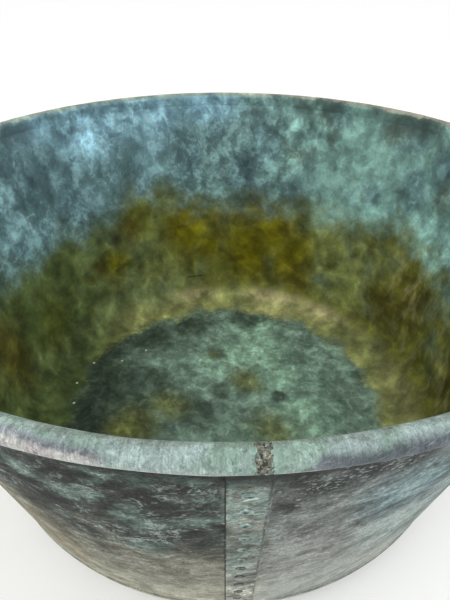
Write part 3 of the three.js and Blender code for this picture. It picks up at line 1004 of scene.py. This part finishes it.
def make_bead(material):
    """The thin, uneven bead of braze along the pan's edge."""
    foot = BEAD_LOW[2]
    rings = []
    face = KNUCKLE_CENTRE.x + math.sqrt(WALL_ARC ** 2 - (foot - KNUCKLE_CENTRE.y) ** 2) + 0.1 * MM
    for a in steps(0, 360, SHEET_STEP)[:-1]:
        where = place(a, 1, 0)
        wobble = wave(where, 60, 2.2) * 0.35 * MM + wave(where, 9, 6.1) * 0.4 * MM
        width, rise = 0.9 * MM + wobble * 0.5, 1.5 * MM + wobble
        outline = ((0, 0), (width, 0), (width * 0.95, rise * 0.25), (width * 0.6, rise * 0.6),
                   (0.55 * MM, rise), (0.15 * MM, rise * 0.9))
        section = [Vector((face + out, foot + up)) for out, up in outline]
        rings.append([place(a, p.x, p.y) for p in section])
    bead = mesh_object("base_braze_bead", joined(rings), skin(rings, True), [material], 60)
    return finish_piece(bead, "braze", "base_seam_braze")


def band_section(proud=0):
    """The roll's section: a leg inside the wall, over the rod, down the outside and curled under."""
    inner = ROLL_RADIUS - BAND_SHEET
    foot = Vector((ROLL_CENTRE.x - inner, LEG_FOOT))
    outer = [foot + Vector((-LEG_EDGE, 0))] + arc(ROLL_CENTRE, ROLL_RADIUS + proud, 180, CURL_END, size=9)
    back = [foot] + arc(ROLL_CENTRE, inner, 180, CURL_END, size=9)
    return outer + back[::-1]


def rim_sway(azimuth, point):
    """Dents and wander of the rolled rim, always inwards of its box."""
    where = place(azimuth, 0.4, 0.4) + Vector((0, 0, 2 * point.y))
    drift = Vector((wave(where, 5, 2.4), wave(where, 5, 9.4))) * 0.4 * MM
    knock = (wave(where, 26, 7.7) * 0.35 + wave(where, 70, 1.9) * 0.15) * MM
    inward = (point - ROLL_CENTRE).normalized() * (knock - 0.2 * MM)
    return point + inward + drift - Vector((0.2, 0.2)) * MM


def make_band(material):
    """The rolled rim, open at its brazed joint, with its leg's edge against the wall."""
    joint_start = RIM_JOINT - RIM_JOINT_WIDTH / 2
    section = band_section()
    half = len(section) // 2
    rings, sheet = [], []
    for a in steps(RIM_JOINT + RIM_JOINT_WIDTH / 2, 360 + joint_start, SHEET_STEP):
        moved = [rim_sway(a, p) for p in section]
        seat = wall_radius(LEG_FOOT) - WALL_SHEET + dent(a, LEG_FOOT)
        moved[0] = Vector((seat - LEG_EDGE, LEG_FOOT))
        moved[-1] = Vector((seat, LEG_FOOT))
        rings.append([place(a, p.x, p.y) for p in moved])
        for i in range(len(section)):
            share = i / (half - 1) if i < half else (len(section) - 1 - i) / (half - 1)
            sheet.append((rad(a) * ROLL_CENTRE.x, share, 0))
    faces = [f[::-1] for f in skin(rings, False)]
    band = mesh_object("rim_roll", joined(rings), faces, [material], 50)
    store(band, "sheet", sheet)
    return finish_piece(band, "rim_copper", "rim_band")


def make_joint(material):
    """The grainy brazed patch across the roll's butt joint, with ragged sides."""
    corners = band_section(0.12 * MM)
    corners = corners[:len(corners) // 2]
    path = [a.lerp(b, k / 3) for a, b in zip(corners, corners[1:]) for k in range(3)] + corners[-1:]
    rings = []
    for a in steps(RIM_JOINT - PATCH_REACH, RIM_JOINT + PATCH_REACH, JOINT_STEP):
        edge = abs(a - RIM_JOINT) / PATCH_REACH
        outer, back = [], []
        for p in path:
            normal = (p - ROLL_CENTRE).normalized()
            q = rim_sway(a, p)
            where = place(a, q.x, q.y)
            grain = wave(where, 900, 1.1) * 0.25 * MM + wave(where, 330, 6.6) * 0.25 * MM
            ragged = edge - 0.84 + wave(where, 260, 3.3) * 0.3
            sink = 0.5 * MM if edge > 0.98 else max(0, ragged) * 3 * MM
            proud = q + normal * (grain - sink)
            under = rim_sway(a, p - normal * BAND_SHEET)
            outer.append(place(a, proud.x, proud.y))
            back.append(place(a, under.x, under.y))
        rings.append(outer + back[::-1])
    faces = [f[::-1] for f in skin(rings, False)]
    joint = mesh_object("rim_joint_patch", joined(rings), faces, [material], 60)
    return finish_piece(joint, "braze", "rim_joint_braze")


def make_rod(material):
    """The iron rod inside the roll, a little uneven."""
    centre = ROLL_CENTRE + Vector((ROD_OFFSET, 0))
    rings = []
    for a in steps(0, 360, 1)[:-1]:
        ring = []
        for s in steps(0, 360, 20)[:-1]:
            size = ROD_RADIUS + wave(place(a, 0.4, s * 0.0004), 60, 4) * 0.12 * MM
            ring.append(place(a, centre.x + size * math.cos(rad(s)), centre.y + size * math.sin(rad(s))))
        rings.append(ring)
    rod = mesh_object("rim_iron_rod", joined(rings), skin(rings, True), [material], 60)
    return finish_piece(rod, "rod_iron", "rim_rod")


def rivet_outline():
    """(radius, height) points from the tail's middle to the head's crown."""
    seat = LAP_LIFT + HEAD_SEAT
    tail = -WALL_SHEET - TAIL_SEAT
    shank = SHANK_RADIUS / MM
    upset = [(0, -1.5), (1.2, -1.5), (2.4, -1.35), (3.1, -1), (3.45, -0.5), (3.5, -0.1), (shank, 0)]
    head = [(shank, 0), (3.2, 0), (4.3, 0.02), (4.55, 0.12), (4.45, 0.36), (4.1, 0.62), (3.5, 0.82),
            (2.7, 0.93), (1.8, 0.9), (0.9, 0.82), (0, 0.8)]
    return ([Vector((r * MM, tail + h * MM)) for r, h in upset]
            + [Vector((r * MM, seat + h * MM)) for r, h in head])


def rivet_seat(node):
    """Where a rivet crosses the wall's outer face, and the turn that makes it face outwards."""
    low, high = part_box(node)
    centre = (Vector(low) + Vector(high)) / 2
    azimuth = azimuth_of(centre)
    facing = place(azimuth, OUTWARD.x, OUTWARD.y)
    side = Vector((0, 0, 1)).cross(facing).normalized()
    turn = Matrix((side, facing.cross(side), facing)).transposed()
    return place(azimuth, wall_radius(centre.z) + dent(azimuth, centre.z), centre.z), turn


def make_rivet(node, number, material):
    """A rivet with a low head knocked out of round and an uneven tail, each one a little different."""
    foot, turn = rivet_seat(node)
    outline = rivet_outline()
    seed = number * 3.7
    vertices, marks = [], []
    for k in range(RIVET_SIDES):
        a = 2 * math.pi * k / RIVET_SIDES
        lobe = 0.05 * wave(Vector((math.cos(a), math.sin(a), seed)), 1.3, 0.5)
        for p in outline:
            local = Vector((p.x * math.cos(a), p.x * math.sin(a), p.y))
            knock = 1 + 0.06 * wave(local, 260, seed) + lobe
            rise = wave(local, 320, seed + 2) * 0.16 * MM if p.y < -WALL_SHEET - MM else 0
            local = Vector((local.x * knock, local.y * knock, local.z + rise))
            vertices.append(foot + turn @ local)
            marks.append((p.x / HEAD_RADIUS, max(0, p.y) / (4 * MM), 0))
    faces, used = spun(len(outline), RIVET_SIDES)
    rivet = mesh_object(f"rivet_{number:02d}", [vertices[v] for v in used], faces, [material], 50)
    store(rivet, "head", [marks[v] for v in used])
    return finish_piece(rivet, "rivet_copper", node)


# ---- Stage ----

def make_stage():
    """A wide pale floor, an even white sky and two soft lamps."""
    corners = ((-1, -1), (1, -1), (1, 1), (-1, 1))
    vertices = [(x * STAGE_HALF, y * STAGE_HALF, -STAGE_DROP) for x, y in corners]
    floor = mesh_object("pale_floor", vertices, [(0, 1, 2, 3)], [pale_floor()])
    world = bpy.context.scene.world or bpy.data.worlds.new("studio")
    bpy.context.scene.world = world
    world.use_nodes = True
    background = world.node_tree.nodes["Background"]
    background.inputs["Color"].default_value = (1, 1, 1, 1)
    background.inputs["Strength"].default_value = SKY_STRENGTH
    add_light("key", position=(-0.9, -1.7, 2.6), size=1.6, power=22)
    add_light("fill", position=(1.8, 0.4, 2.4), size=1.8, power=9)


def add_light(name, position, size, power):
    light = bpy.data.lights.new(name, "AREA")
    light.shape = "DISK"
    light.size = size
    light.energy = power
    lamp = bpy.data.objects.new(name, light)
    bpy.context.scene.collection.objects.link(lamp)
    lamp.location = position
    lamp.rotation_euler = (LIGHT_TARGET - Vector(position)).to_track_quat("-Z", "Y").to_euler()


def make_camera():
    """Close above the front rim, looking down into the vessel."""
    data = bpy.data.cameras.new("camera")
    data.lens = LENS
    data.clip_start = 0.01
    camera = bpy.data.objects.new("camera", data)
    bpy.context.scene.collection.objects.link(camera)
    rim_radius = RIM_HIGH[0]
    camera.location = (0, -CAMERA_BACK * rim_radius, RIM_HIGH[2] + CAMERA_RISE * rim_radius)
    camera.rotation_euler = (rad(90 - CAMERA_DOWN), 0, 0)
    bpy.context.scene.camera = camera


def main():
    make_camera()
    make_stage()
    bpy.context.scene.view_settings.view_transform = "Standard"
    outside, inside = outside_patina(), inside_patina()
    make_wall(outside, inside)
    make_pan(outside, inside)
    make_bead(seam_crust())
    make_band(rim_patina())
    make_joint(braze_crust())
    make_rod(rod_rust())
    rivets = rivet_patina()
    for number, node in enumerate(RIVET_NODES, 1):
        make_rivet(node, number, rivets)


main()
